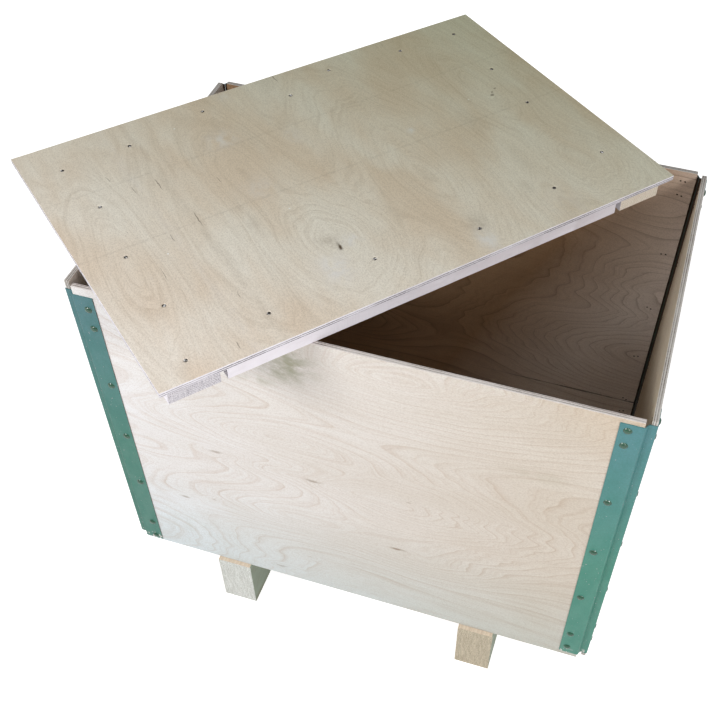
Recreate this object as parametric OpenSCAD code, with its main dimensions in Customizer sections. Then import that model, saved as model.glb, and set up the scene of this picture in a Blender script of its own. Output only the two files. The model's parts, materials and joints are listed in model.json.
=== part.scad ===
// Folding plywood box, 700 x 456 mm. Four panels are riveted to creased steel
// corner strips, so the sleeve lifts off its two-runner base and folds flat.
// The battened lid lies askew on the sleeve's rim.
// Millimetres, +Z up. The origin is on the ground, under the middle of the sleeve.
// +X runs along the front panel to the right, and +Y from front to back.

/* [Sleeve] */
// Outer width of the sleeve, over the side panels
sleeve_w = 700; // [560:1:1000]
// Outer depth of the sleeve, over the front and back panels
sleeve_d = 456; // [380:1:800]
// Height of the four panels
wall_h = 525; // [300:1:800]
// Thickness of the plywood of panels, floor and lid
ply_t = 6.5; // [5:0.5:10]

/* [Corner strips] */
// Thickness of the strips' sheet steel
strip_t = 1; // [0.8:0.1:1.5]
// Width of a strip's leg, from the end of the panel that it is riveted to
strip_leg = 26; // [22:0.5:40]
// How much shorter a strip is than the panels
strip_short = 16; // [16:1:60]
// Distance from a strip's crease to the inner face of the side panel
crease_inside = 2; // [1.8:0.1:4]
// Distance from a strip's crease to the end of the front or back panel
web_reach = 4; // [3.5:0.1:8]
// Clearance between a panel's end and the strip that wraps it
strip_clear = 0.3; // [0.2:0.05:0.5]
// Inner radius of the strips' bends
bend_r = 0.3; // [0.1:0.05:0.3]
// Radius of the rounded crease on which two leaves turn
crease_r = 0.6; // [0.5:0.05:0.7]
// Running gap between the crease and the leaf that turns on it
crease_gap = 0.3; // [0.2:0.05:0.5]
// Drop of the front right strip below the rim
drop_front_right = 6.5; // [3:0.5:16]
// Drop of the front left strip below the rim
drop_front_left = 12.5; // [3:0.5:16]
// Drop of the back right strip below the rim
drop_back_right = 6; // [3:0.5:16]
// Drop of the back left strip below the rim
drop_back_left = 2; // [2:0.5:16]

/* [Rivets] */
// Diameter of a rivet's domed head
head_d = 10; // [8:0.5:12]
// Height of a rivet's domed head
head_h = 2.4; // [1.5:0.1:3]
// Diameter of a rivet's shank
shank_d = 4; // [3:0.25:5]
// Radial clearance of a rivet in its hole
rivet_clear = 0.05; // [0.03:0.01:0.2]
// Distance of the rivets' line from the end of the panel
rivet_line = 16.3; // [14:0.1:18]
// Distance of the end rivets from the ends of the strip
rivet_end = 13.5; // [12:0.5:25]
// Spacing of the close pair of rivets at each end
rivet_pair = 32; // [24:0.5:40]
// Reach of each clinched prong from the rivet's axis
prong_reach = 4.4; // [3.5:0.1:6]
// Width of a clinched prong
prong_w = 2.2; // [1.5:0.1:3]
// Thickness of a clinched prong, proud of the inner face
prong_t = 0.4; // [0.2:0.05:0.45]

/* [Base] */
// Width of a runner
runner_w = 53; // [40:1:80]
// Height of a runner
runner_h = 100; // [70:1:150]
// Clear width of the channel between the runners
channel_w = 327; // [220:1:400]
// How far the runners stand out of the front and of the back panel
runner_proud = 6.5; // [3:0.5:20]
// Clearance between the floor's ends and the side panels
floor_play_x = 8; // [8:0.5:15]
// Clearance between the floor's long edges and the front and back panels
floor_play_y = 1.5; // [1:0.5:5]
// Distance of the outer floor nails from the floor's long edges
floor_nail_edge = 35; // [20:1:60]
// Nails in each runner
floor_nails_n = 4; // [2:1:8]

/* [Lid] */
// How far the lid stands out of the sleeve at each side
lid_over_x = 0; // [0:1:10]
// How far the lid stands out of the sleeve at front and back
lid_over_y = 4.3; // [0:0.1:10]
// Clearance of the batten frame inside the sleeve, at each side
frame_play_x = 3.7; // [1:0.1:8]
// Clearance of the batten frame inside the sleeve, at front and back
frame_play_y = 0.9; // [0.5:0.1:6]
// Width of a batten
batten_w = 62; // [40:1:90]
// Thickness of a batten
batten_t = 28; // [18:1:40]
// Gap between an end batten and the long battens
batten_gap = 7.8; // [2:0.2:15]
// Where the lid's middle lies, to the right of the sleeve's middle
lid_x = -96.4; // [-120:0.1:120]
// Where the lid's middle lies, behind the sleeve's middle
lid_y = 43.3; // [-80:0.1:80]
// Turn of the lid on the rim, in degrees
lid_turn = 49.7; // [0:0.1:90]

/* [Nails] */
// Diameter of a nail's head
nail_head_d = 4.6; // [3.5:0.1:7]
// Thickness of a nail's head
nail_head_t = 0.8; // [0.5:0.1:1.5]
// Diameter of a nail's shank
nail_d = 2.2; // [1.6:0.1:3]
// Depth of a nail's head below the face of the plywood
nail_sunk = 0.3; // [0.1:0.1:1]
// Length of a nail below its head
nail_l = 22; // [15:1:30]
// Radial clearance of a nail in its hole
nail_clear = 0.05; // [0.03:0.01:0.2]

/* [Hidden] */
$fn = 48;

// How far a cut runs past a face, and how far joined solids bite into each other
past = 1;
bite = 0.01;

// Colours of the finishes
PLY = [0.86, 0.83, 0.78];
SAWN = [0.80, 0.73, 0.62];
GREEN = [0.37, 0.60, 0.53];
DARK_GREEN = [0.20, 0.43, 0.31];
STEEL = [0.45, 0.43, 0.41];

// Faces of the sleeve, seen from above
side_out = sleeve_w / 2;
side_in = side_out - ply_t;
front_out = sleeve_d / 2;
front_in = front_out - ply_t;
rim_z = runner_h + wall_h;

// The crease of a corner strip lies just inside the side panel's inner face.
// The front and back panels stop short of it, and the side panels stop level
// with the inner face of the front and back panels.
crease_x = side_in - crease_inside;
crease_y = front_in + strip_clear + strip_t;
front_end = crease_x - web_reach;
side_end = front_in;

// The web runs from the front panel's end to the crease, at this angle to X
web_dx = crease_x - front_end - strip_clear;
web_dy = front_out - crease_y;
web_angle = atan2(web_dy, web_dx) + asin(strip_t / norm([web_dx, web_dy]));

// Depths of a strip's rivets below its upper end
strip_h = wall_h - strip_short;
rivet_pitch = (strip_h - 2 * rivet_end - 2 * rivet_pair) / 4;
RIVET_DEPTHS = [
    rivet_end,
    for (i = [0:4]) rivet_end + rivet_pair + i * rivet_pitch,
    strip_h - rivet_end
];

// A corner is [side of X, side of Y, drop of its strip, drift of each rivet].
// The rivets are set by hand, so each lies a little off its even spacing.
FRONT_RIGHT = [1, -1, drop_front_right, [-3, -10, -8, -6, -1, -6, -2]];
FRONT_LEFT = [-1, -1, drop_front_left, [7, 7, 6, 5, 6, 3, 6]];
BACK_RIGHT = [1, 1, drop_back_right, [-4, -13, -13, -11, -10, -12, -13]];
BACK_LEFT = [-1, 1, drop_back_left, [2, 1, -2, 3, 0, -2, 2]];

function corner_drop(corner) = corner[2];
function rivet_z(corner, i) = rim_z - corner_drop(corner) - RIVET_DEPTHS[i] - corner[3][i];
// Each pair of prongs is turned its own way, as it fell when it was driven
function prong_turn(i) = 5 + 18 * sin(160 * i);

// The lid and its frame of battens, measured from the lid's middle
lid_w = sleeve_w + 2 * lid_over_x;
lid_d = sleeve_d + 2 * lid_over_y;
frame_w = 2 * (side_in - frame_play_x);
frame_d = 2 * (front_in - frame_play_y);
long_batten_l = frame_w - 2 * (batten_w + batten_gap);
lid_z = rim_z + batten_t;

// Hand-driven lid nails: [share of the batten's length, share of its width off its middle line]
LEFT_NAIL_SHARES = [[0.04, 0.03], [0.24, 0.26], [0.46, 0.18], [0.69, 0.32], [0.90, 0.10]];
RIGHT_NAIL_SHARES = [[0.17, -0.08], [0.49, -0.31], [0.70, -0.21], [0.94, -0.10]];
FRONT_NAIL_SHARES = [[0.13, 0.06], [0.40, 0.32], [0.65, 0.02], [0.88, 0.27]];
BACK_NAIL_SHARES = [[0.11, -0.13], [0.32, 0.23], [0.54, -0.21], [0.68, 0.24], [0.89, 0.10]];

// Places of the lid's nails, from the lid's middle
function along(share, length) = (share - 0.5) * length;
end_batten_x = frame_w / 2 - batten_w / 2;
long_batten_y = frame_d / 2 - batten_w / 2;
LID_NAILS = [
    for (n = LEFT_NAIL_SHARES) [-end_batten_x + n[1] * batten_w, along(n[0], frame_d)],
    for (n = RIGHT_NAIL_SHARES) [end_batten_x + n[1] * batten_w, along(n[0], frame_d)],
    for (n = FRONT_NAIL_SHARES) [along(n[0], long_batten_l), -long_batten_y + n[1] * batten_w],
    for (n = BACK_NAIL_SHARES) [along(n[0], long_batten_l), long_batten_y + n[1] * batten_w]
];

// The floor lies on the runners, inside the sleeve
floor_w = 2 * (side_in - floor_play_x);
floor_d = 2 * (front_in - floor_play_y);
runner_l = sleeve_d + 2 * runner_proud;
runner_x = (channel_w + runner_w) / 2;
FLOOR_NAILS = [
    for (x = [-runner_x, runner_x], i = [0:floor_nails_n - 1])
        [x, (i / (floor_nails_n - 1) - 0.5) * (floor_d - 2 * floor_nail_edge)]
];

// Fasteners

// A nail, head up, with its head sunk below the face at z = 0. With a clearance it
// is the nail's hole, which runs out past that face.
module nail(clear = 0) {
    head_low = -nail_sunk - nail_head_t;
    head_top = clear > 0 ? past : -nail_sunk;
    translate([0, 0, head_low])
        cylinder(d = nail_head_d + 2 * clear, h = head_top - head_low);
    translate([0, 0, head_low - nail_l - clear])
        cylinder(d = nail_d + 2 * clear, h = nail_l + clear + bite);
}

// A clinched split rivet on the Z axis. Its head sits on z = 0, outside the strip,
// and its two prongs lie on the panel's inner face.
module rivet() {
    grip = strip_t + ply_t;
    dome_r = (pow(head_d / 2, 2) + pow(head_h, 2)) / (2 * head_h);
    intersection() {
        translate([0, 0, head_h - dome_r]) sphere(r = dome_r);
        cylinder(d = head_d, h = head_h);
    }
    translate([0, 0, -grip - prong_t]) {
        tip = prong_reach - prong_w / 2;
        cylinder(d = shank_d, h = prong_t + grip + bite);
        translate([-tip, -prong_w / 2]) cube([2 * tip, prong_w, prong_t]);
        for (x = [-tip, tip]) translate([x, 0]) cylinder(d = prong_w, h = prong_t);
    }
}

module rivet_hole() {
    grip = strip_t + ply_t;
    translate([0, 0, -grip - past])
        cylinder(d = shank_d + 2 * rivet_clear, h = grip + 2 * past);
}

// Places each rivet of the leaf on the front or back panel: head outwards, along Y
module at_front_rivets(corner) {
    for (i = [0:len(RIVET_DEPTHS) - 1])
        translate([corner[0] * (front_end - rivet_line), corner[1] * (front_out + strip_t),
                rivet_z(corner, i)])
            rotate([corner[1] * -90, 0, 0]) rotate(prong_turn(i)) children();
}

// Places each rivet of the leaf on a side panel: head outwards, along X
module at_side_rivets(corner) {
    for (i = [0:len(RIVET_DEPTHS) - 1])
        translate([corner[0] * (side_out + strip_t), corner[1] * (side_end - rivet_line),
                rivet_z(corner, i)])
            rotate([0, corner[0] * 90, 0]) rotate(prong_turn(i)) children();
}

// Corner strips

// A bend through the given angle. Its centre is the origin, and it starts straight
// down from there, where the leg ends.
module bend(angle) {
    intersection() {
        difference() {
            circle(r = bend_r + strip_t);
            circle(r = bend_r);
        }
        reach = 3 * (bend_r + strip_t);
        polygon([[0, 0], [0, -reach], reach * [sin(angle / 2), -cos(angle / 2)],
            reach * [sin(angle), -cos(angle)]]);
    }
}

// Section of the leaf on the front panel: the leg, the bend, and the slanted web,
// which stops a running gap short of the crease
module front_leaf_section() {
    bend_x = front_end + strip_clear - bend_r * tan(web_angle / 2);
    bend_y = -front_out + bend_r;
    to_crease = (crease_x - bend_x) * cos(web_angle) + (bend_y + crease_y) * -sin(web_angle);
    translate([bend_x, bend_y]) {
        leg = bend_x - front_end + strip_leg;
        translate([-leg, -bend_r - strip_t]) square([leg, strip_t]);
        bend(web_angle);
        rotate(web_angle) translate([0, -bend_r - strip_t])
            square([to_crease - crease_r - crease_gap, strip_t]);
    }
}

// Section of the leaf on the right side panel: the rounded crease, the cover over
// the panel's end, the bend and the leg
module side_leaf_section() {
    bend_x = side_out - bend_r;
    bend_y = -crease_y + strip_t + bend_r;
    translate([crease_x, -crease_y]) circle(r = crease_r);
    translate([crease_x, -crease_y]) square([bend_x - crease_x, strip_t]);
    translate([bend_x, bend_y]) {
        bend(90);
        translate([bend_r, 0]) square([strip_t, strip_leg - side_end - bend_y]);
    }
}

// Stands a section up at a corner: the sections are drawn for the front right one
module strip_at(corner) {
    translate([0, 0, rim_z - corner_drop(corner) - strip_h])
        mirror([corner[0] < 0 ? 1 : 0, 0, 0]) mirror([0, corner[1] > 0 ? 1 : 0, 0])
            linear_extrude(height = strip_h) children();
}

module front_leaf(corner) {
    color(GREEN) difference() {
        strip_at(corner) front_leaf_section();
        at_front_rivets(corner) rivet_hole();
    }
}

module side_leaf(corner) {
    color(GREEN) difference() {
        strip_at(corner) side_leaf_section();
        at_side_rivets(corner) rivet_hole();
    }
}

module front_rivets(corner) {
    color(DARK_GREEN) at_front_rivets(corner) rivet();
}

module side_rivets(corner) {
    color(DARK_GREEN) at_side_rivets(corner) rivet();
}

// Panels of the sleeve

// The front or the back panel, between its two corners
module long_panel(left, right) {
    y_low = left[1] < 0 ? -front_out : front_in;
    color(PLY) difference() {
        translate([-front_end, y_low, runner_h]) cube([2 * front_end, ply_t, wall_h]);
        at_front_rivets(left) rivet_hole();
        at_front_rivets(right) rivet_hole();
    }
}

// A side panel, between its front and its back corner
module side_panel(front, back) {
    x_low = front[0] < 0 ? -side_out : side_in;
    color(PLY) difference() {
        translate([x_low, -side_end, runner_h]) cube([ply_t, 2 * side_end, wall_h]);
        at_side_rivets(front) rivet_hole();
        at_side_rivets(back) rivet_hole();
    }
}

// Base

module nail_holes(places, face_z) {
    for (p = places) translate([p[0], p[1], face_z]) nail(nail_clear);
}

module runner(side) {
    color(SAWN) difference() {
        translate([side * runner_x - runner_w / 2, -runner_l / 2, 0])
            cube([runner_w, runner_l, runner_h]);
        nail_holes(FLOOR_NAILS, runner_h + ply_t);
    }
}

module floor_panel() {
    color(PLY) difference() {
        translate([-floor_w / 2, -floor_d / 2, runner_h]) cube([floor_w, floor_d, ply_t]);
        nail_holes(FLOOR_NAILS, runner_h + ply_t);
    }
}

module floor_nails() {
    color(STEEL) for (p = FLOOR_NAILS) translate([p[0], p[1], runner_h + ply_t]) nail();
}

// Lid

// Puts what is drawn about the lid's middle, with z = 0 at the battens' top, in place
module lid_at() {
    translate([lid_x, lid_y, lid_z]) rotate(lid_turn) children();
}

module lid_panel() {
    color(PLY) lid_at() difference() {
        translate([-lid_w / 2, -lid_d / 2, 0]) cube([lid_w, lid_d, ply_t]);
        nail_holes(LID_NAILS, ply_t);
    }
}

module batten(middle_x, middle_y, size_x, size_y) {
    color(SAWN) lid_at() difference() {
        translate([middle_x - size_x / 2, middle_y - size_y / 2, -batten_t])
            cube([size_x, size_y, batten_t]);
        nail_holes(LID_NAILS, ply_t);
    }
}

module end_batten(side) {
    batten(side * end_batten_x, 0, batten_w, frame_d);
}

module long_batten(side) {
    batten(0, side * long_batten_y, long_batten_l, batten_w);
}

module lid_nails() {
    color(STEEL) lid_at() for (p = LID_NAILS) translate([p[0], p[1], ply_t]) nail();
}

runner(-1);  // runner_left
runner(1);  // runner_right
floor_panel();
floor_nails();
long_panel(FRONT_LEFT, FRONT_RIGHT);  // front_panel
side_panel(FRONT_RIGHT, BACK_RIGHT);  // right_panel
long_panel(BACK_LEFT, BACK_RIGHT);  // back_panel
side_panel(FRONT_LEFT, BACK_LEFT);  // left_panel
front_leaf(FRONT_RIGHT);  // strip_front_right_front
side_leaf(FRONT_RIGHT);  // strip_front_right_side
front_leaf(FRONT_LEFT);  // strip_front_left_front
side_leaf(FRONT_LEFT);  // strip_front_left_side
front_leaf(BACK_RIGHT);  // strip_back_right_back
side_leaf(BACK_RIGHT);  // strip_back_right_side
front_leaf(BACK_LEFT);  // strip_back_left_back
side_leaf(BACK_LEFT);  // strip_back_left_side
front_rivets(FRONT_RIGHT);  // rivets_front_right_front
side_rivets(FRONT_RIGHT);  // rivets_front_right_side
front_rivets(FRONT_LEFT);  // rivets_front_left_front
side_rivets(FRONT_LEFT);  // rivets_front_left_side
front_rivets(BACK_RIGHT);  // rivets_back_right_back
side_rivets(BACK_RIGHT);  // rivets_back_right_side
front_rivets(BACK_LEFT);  // rivets_back_left_back
side_rivets(BACK_LEFT);  // rivets_back_left_side
lid_panel();
end_batten(-1);  // lid_batten_left
end_batten(1);  // lid_batten_right
long_batten(-1);  // lid_batten_front
long_batten(1);  // lid_batten_back
lid_nails();
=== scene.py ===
"""Looks of the folding plywood box: figured veneers, sawn timber, green sheet steel,
enamelled rivets and driven nails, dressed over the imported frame."""
import json

import bpy
import numpy as np
from mathutils import Matrix, Vector


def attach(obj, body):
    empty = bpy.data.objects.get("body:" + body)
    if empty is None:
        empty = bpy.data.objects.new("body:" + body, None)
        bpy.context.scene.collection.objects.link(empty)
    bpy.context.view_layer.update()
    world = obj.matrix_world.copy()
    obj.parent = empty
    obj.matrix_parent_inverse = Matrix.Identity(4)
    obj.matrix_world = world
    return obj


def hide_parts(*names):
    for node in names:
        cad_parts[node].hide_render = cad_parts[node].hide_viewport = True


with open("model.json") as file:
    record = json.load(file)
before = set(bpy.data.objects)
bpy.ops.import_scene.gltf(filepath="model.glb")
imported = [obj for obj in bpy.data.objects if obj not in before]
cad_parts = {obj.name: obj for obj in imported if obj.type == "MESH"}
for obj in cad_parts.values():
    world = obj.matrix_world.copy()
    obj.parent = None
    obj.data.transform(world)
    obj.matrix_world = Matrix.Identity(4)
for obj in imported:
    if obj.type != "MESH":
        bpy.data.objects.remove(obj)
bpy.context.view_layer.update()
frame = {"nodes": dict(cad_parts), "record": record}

MM = 0.001
RNG = np.random.default_rng(7)

RIGHT, BACK, UP = np.eye(3)
LEFT, FRONT = -RIGHT, -BACK

# Spacing of a board's grid lines, the rounding of its edges, and how deep the saw bit them
GRID_STEP = 25 * MM
PLY_EASE, SAWN_EASE = 0.35 * MM, 0.55 * MM
PLY_BITE, SAWN_BITE = 0.2 * MM, 0.3 * MM
SAW_WAVES = (55, 170, 410)
# Points closer than this are one
WELD = 0.0001 * MM

# A nail's head, the grid lines on either side of its middle, and the dip round it: how far
# it reaches, in radii of the head, and its depth in the floor and in the lid
NAIL_HEAD_R = 2.3 * MM
NAIL_LINES = np.array([-4.2, -3.4, -2.7, -2.0, -1.2, 1.2, 2.0, 2.7, 3.4, 4.2]) * MM
DIP_REACH = 1.45
FLOOR_DIP, LID_DIP = 0.3 * MM, 0.9 * MM

# The width of a rivet's prong, how near its top and its inner end the points of head and
# prongs lie, and the sides and steps of a round dome
PRONG_WIDTH = 2.2 * MM
HEAD_DEPTH, PRONG_DEPTH = 3 * MM, 2 * MM
DOME_SIDES, HEAD_STEPS, TIP_STEPS = 36, 12, 8

# Points of one rivet or nail are less than this from the next, points of two of them more,
# and what counts as the same height or the same distance
RIVET_REACH, NAIL_REACH = 9 * MM, 3 * MM
LEVEL, RIM = 0.01 * MM, 0.05 * MM


# Places and directions read from the frame


def points_of(node):
    """All vertices of a node at rest, as an array of shape (n, 3)."""
    co = np.zeros(len(frame["nodes"][node].data.vertices) * 3)
    frame["nodes"][node].data.vertices.foreach_get("co", co)
    return co.reshape(-1, 3)


def body_of(node):
    """The body that a node rides on."""
    return next(b for b, nodes in frame["record"]["behaviour"]["bodies"].items() if node in nodes)


def lid_directions():
    """The lid's long and short directions. The lid lies askew, so its four corners are
    the points that reach furthest to the front, the right, the back and the left."""
    corners = points_of("lid_panel")
    front = corners[corners[:, 1].argmin()]
    right = corners[corners[:, 0].argmax()]
    length = (right - front) * [1, 1, 0]
    length /= np.linalg.norm(length)
    return length, np.cross(UP, length)


def extent(node, axes):
    """Lowest and highest value of a node along three directions, the rows of axes."""
    along = points_of(node) @ axes.T
    return along.min(0), along.max(0)


def clusters(points, reach):
    """Splits points into groups whose members lie within reach of each other, by
    spreading the lowest label to every neighbour until nothing changes."""
    near = np.linalg.norm(points[:, None] - points[None], axis=2) < reach
    label = np.arange(len(points))
    while True:
        spread = np.where(near, label[None], len(points)).min(1)
        if (spread == label).all():
            return [points[label == k] for k in np.unique(label)]
        label = spread


# Mesh building

def add_piece(name, verts, faces, node, materials, material_of=None, grain=None):
    """Puts arrays of vertices and faces into a smooth piece that stands for a CAD node and
    rides on the node's body. grain is each vertex's own place in the timber, along, across
    and through it."""
    mesh = bpy.data.meshes.new(name)
    mesh.from_pydata(verts, [], faces)
    for material in materials:
        mesh.materials.append(material)
    if material_of is not None:
        mesh.polygons.foreach_set("material_index", material_of)
    mesh.polygons.foreach_set("use_smooth", np.ones(len(mesh.polygons), bool))
    if grain is not None:
        attribute = mesh.attributes.new("grain", "FLOAT_VECTOR", "POINT")
        attribute.data.foreach_set("vector", np.asarray(grain, np.float32).ravel())
    mesh.validate()
    mesh.update()
    piece = bpy.data.objects.new(name, mesh)
    bpy.context.scene.collection.objects.link(piece)
    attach(piece, body_of(node))
    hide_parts(node)


def grid_faces(rows, cols, start=0, wrap=False):
    """Quads between neighbours of a grid of rows x cols vertices, whose first index is
    start. With wrap the last column joins the first."""
    index = start + np.arange(rows * cols).reshape(rows, cols)
    if wrap:
        index = np.concatenate([index, index[:, :1]], 1)
    a, b, c, d = index[:-1, :-1], index[1:, :-1], index[1:, 1:], index[:-1, 1:]
    return np.stack([a, b, c, d], -1).reshape(-1, 4)


def spaced(half, ease, step, extra=()):
    """Grid lines from -half to half: three close together over each eased edge, then evenly
    spaced ones about step apart, with the extra lines put in between."""
    inner = half - 2.5 * ease
    count = max(2, int(round(2 * inner / step)) + 1)
    edge = np.array([half, half - 0.6 * ease, half - ease])
    extra = np.asarray(extra, float)
    extra = extra[np.abs(extra) < inner]
    return np.unique(np.round(np.concatenate([-edge, np.linspace(-inner, inner, count), extra, edge]), 6))


def eased_slab(size, ease, step, lines=((), ())):
    """A slab with rounded edges, about its own middle: each of a box's six faces is a grid,
    and each grid point p moves to q + ease * (p - q) / |p - q|, where q is the nearest
    point of the box that is smaller by ease all round. Returns vertices, quads and each
    quad's face: 0 and 1 over and under, 2 the long edges, 3 the ends."""
    half = np.asarray(size) / 2
    steps = [spaced(half[k], ease, step, lines[k] if k < 2 else ()) for k in range(3)]
    verts, faces, sides, count = [], [], [], 0
    for axis, one, two, kind in ((2, 0, 1, 0), (1, 2, 0, 2), (0, 1, 2, 3)):
        for sign in (1, -1):
            a, b = np.meshgrid(steps[one], steps[two], indexing="ij")
            p = np.zeros((*a.shape, 3))
            p[..., one], p[..., two], p[..., axis] = a, b, sign * half[axis]
            quads = grid_faces(*a.shape, start=count)
            faces.append(quads if sign > 0 else quads[:, ::-1])
            sides.append(np.full(len(quads), 1 if kind == 0 and sign < 0 else kind))
            verts.append(p.reshape(-1, 3))
            count += a.size
    p = np.concatenate(verts)
    q = np.clip(p, ease - half, half - ease)
    out = p - q
    p = q + ease * out / np.maximum(np.linalg.norm(out, axis=1, keepdims=True), 1e-12)
    _, first, index = np.unique(np.round(p / WELD).astype(np.int64), axis=0,
                                return_index=True, return_inverse=True)
    return p[first], index.ravel()[np.concatenate(faces)], np.concatenate(sides)


def ragged(verts, size, bite, seed):
    """Roughens a slab's edges as a saw leaves them: each point near an edge moves inwards by
    bite * (1 + wave) / 2, never outwards. The wave is the mean of three sines of the place
    along that edge, each begun at random."""
    half = np.asarray(size) / 2
    waves = np.random.default_rng(seed)
    moved = verts.copy()
    for axis in (0, 1):
        near = np.clip(1 - (half[axis] - np.abs(verts[:, axis])) / (4 * bite), 0, 1)
        along = verts[:, 1 - axis]
        wave = sum(np.sin(along * f + waves.uniform(0, 6.3)) for f in SAW_WAVES) / len(SAW_WAVES)
        moved[:, axis] -= np.sign(verts[:, axis]) * near * bite * (0.5 + 0.5 * wave)
    return moved


def board(name, node, axes, materials, ease, bite, nails=(), dip=0.0):
    """A board that stands for a node: an eased slab with the node's own size and place.
    axes are the directions along the grain, across it, and out of the upper face, and
    materials are those of the upper face, the lower face, the long edges and the ends.
    nails are the middles of nail heads in the row frame. Round each the upper face sinks by
    dip * sqrt(DIP_REACH - distance / NAIL_HEAD_R), with the root's inside held to 0..1."""
    axes = np.array(axes)
    low, high = extent(node, axes)
    size, middle = high - low, (low + high) / 2
    spots = np.reshape(nails, (-1, 3)) @ axes.T - middle
    lines = [(spots[:, k, None] + NAIL_LINES).ravel() for k in (0, 1)]
    verts, faces, sides = eased_slab(size, ease, GRID_STEP, lines)
    grain = verts.copy()
    verts = ragged(verts, size, bite, seed=sum(map(ord, name)))
    if len(spots):
        away = np.linalg.norm(verts[:, None, :2] - spots[None, :, :2], axis=2).min(1)
        sink = dip * np.clip(DIP_REACH - away / NAIL_HEAD_R, 0, 1) ** 0.5
        verts[:, 2] -= np.where(verts[:, 2] > size[2] / 2 - ease / 2, sink, 0)
    add_piece(name, (verts + middle) @ axes, faces, node, materials, sides, grain)


# Shader building

class Nodes:
    """Shorthand for a node tree: a call adds one or more nodes and gives back an output.
    A value that goes in is an output of another node, or a plain number or tuple."""

    def __init__(self, tree):
        self.tree = tree

    def add(self, kind, ins=(), out=0, **settings):
        """Adds a node. ins is a dict of its inputs, and out None gives the node itself."""
        node = self.tree.nodes.new(kind)
        for key, value in settings.items():
            setattr(node, key, value)
        for key, value in dict(ins).items():
            self.feed(node.inputs[key], value)
        return node.outputs[out] if out is not None else node

    def feed(self, socket, value):
        """Links an output to a socket, or sets the socket to a plain value."""
        if isinstance(value, bpy.types.NodeSocket):
            self.tree.links.new(value, socket)
        else:
            socket.default_value = value

    def math(self, operation, a, b=0.0):
        """One number from one or two."""
        return self.add("ShaderNodeMath", {0: a, 1: b}, operation=operation)

    def vector(self, operation, a, b=(0, 0, 0)):
        """A vector or a number from one or two vectors."""
        out = 1 if operation in ("LENGTH", "DOT_PRODUCT", "DISTANCE") else 0
        return self.add("ShaderNodeVectorMath", {0: a, 1: b}, out, operation=operation)

    def noise(self, place, scale, detail=2.0, roughness=0.5):
        """Noise about 0.5 at place, a vector, times scale, three numbers. The stretched place
        is turned, so that the noise's lattice never lines up with a board."""
        turned = self.add("ShaderNodeMapping", {"Vector": place, "Scale": scale,
                                                "Rotation": (0.6, 0.75, 0.9)})
        return self.add("ShaderNodeTexNoise", {"Vector": turned, "Scale": 1.0, "Detail": detail,
                                               "Roughness": roughness})

    def span(self, value, low, high, to_low=0.0, to_high=1.0, smooth=True):
        """Maps value from low..high to to_low..to_high, held at both ends."""
        return self.add("ShaderNodeMapRange", {"Value": value, "From Min": low, "From Max": high,
                                               "To Min": to_low, "To Max": to_high},
                        interpolation_type="SMOOTHSTEP" if smooth else "LINEAR")

    def mix(self, share, a, b, blend="MIX"):
        """The colour a at share 0, and b, or b blended over it, at share 1."""
        return self.add("ShaderNodeMix", {0: share, 6: a, 7: b}, 2, data_type="RGBA", blend_type=blend)

    def sum(self, values):
        """The sum of one or more numbers."""
        total = values[0]
        for value in values[1:]:
            total = self.math("ADD", total, value)
        return total

    def group(self, tree, **ins):
        """Places a node group; its inputs are named with spaces as underscores."""
        node = self.tree.nodes.new("ShaderNodeGroup")
        node.node_tree = tree
        for key, value in ins.items():
            self.feed(node.inputs[key.replace("_", " ")], value)
        return node.outputs


FLOAT, VECTOR = "NodeSocketFloat", "NodeSocketVector"


def new_group(name, ins, outs, build):
    """A shader node group. ins are (name, kind, default), outs are (name, kind), and
    build(nodes, inputs) gives the sockets for the outputs in order."""
    tree = bpy.data.node_groups.new(name, "ShaderNodeTree")
    for label, kind, default in ins:
        tree.interface.new_socket(name=label, in_out="INPUT", socket_type=kind).default_value = default
    for label, kind in outs:
        tree.interface.new_socket(name=label, in_out="OUTPUT", socket_type=kind)
    source = tree.nodes.new("NodeGroupInput")
    sink = tree.nodes.new("NodeGroupOutput")
    for socket, value in zip(sink.inputs, build(Nodes(tree), source.outputs)):
        tree.links.new(value, socket)
    return tree


def paint(red, green, blue):
    """A colour given as a screen shows it, 0 to 255, in the linear values that shaders use."""
    screen = np.array([red, green, blue]) / 255
    linear = np.where(screen <= 0.04045, screen / 12.92, ((screen + 0.055) / 1.055) ** 2.4)
    return (*(float(x) for x in linear), 1.0)


def new_material(name, build, **fixed):
    """A material with one Principled shader. fixed are constants on its sockets, and
    build(nodes) gives a dict of the sockets that vary over the surface."""
    material = bpy.data.materials.new(name)
    material.use_nodes = True
    nodes = Nodes(material.node_tree)
    shader = material.node_tree.nodes["Principled BSDF"]
    for key, value in fixed.items():
        shader.inputs[key.replace("_", " ")].default_value = value
    for key, socket in build(nodes).items():
        nodes.feed(shader.inputs[key], socket)
    return material


def build_bell(n, i):
    """exp(-(du / ru)^2 - (dv / rv)^2): one at the centre, near zero past twice the reach."""
    away = n.vector("DIVIDE", n.vector("SUBTRACT", i["Grain"], i["Centre"]), i["Reach"])
    flat = n.vector("MULTIPLY", away, (1, 1, 0))
    return [n.math("EXPONENT", n.math("MULTIPLY", n.vector("DOT_PRODUCT", flat, flat), -1.0))]


def seeded(n, i):
    """The place in the grain, moved to a part of the noise that belongs to the seed."""
    return n.vector("ADD", i["Grain"], n.add("ShaderNodeCombineXYZ", {"X": i["Seed"], "Z": i["Seed"]}))


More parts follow.
